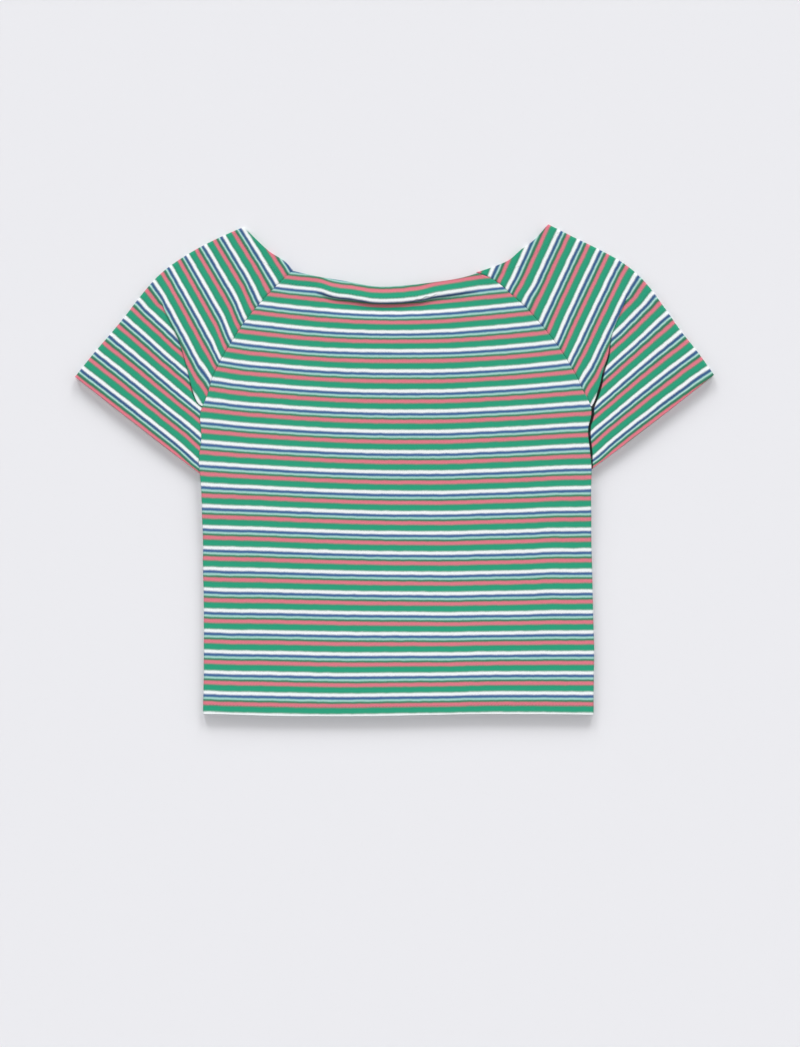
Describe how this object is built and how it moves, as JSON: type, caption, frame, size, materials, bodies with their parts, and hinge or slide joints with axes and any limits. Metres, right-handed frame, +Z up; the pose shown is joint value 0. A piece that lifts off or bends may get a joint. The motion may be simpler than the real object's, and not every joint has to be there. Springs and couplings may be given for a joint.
{
  "type": "crop top",
  "caption": "Cropped women's top with short raglan sleeves and a wide shallow neck, lying flat, in fine striped knit.",
  "frame": {"origin": "centre of the bounding box on the surface that the top lies on, on the underside of the back panel", "axes": "+X to the wearer's left, +Y from the hem to the neck, +Z up out of the front panel"},
  "size_m": [0.607, 0.4656, 0.0075],
  "materials": {
    "striped_jersey": "fine matt cotton rib jersey, striped green, white, blue, mint and pink"
  },
  "bodies": {
    "root": {"front_body": "striped_jersey", "back_body": "striped_jersey", "right_sleeve": "striped_jersey", "left_sleeve": "striped_jersey"}
  },
  "joints": []
}
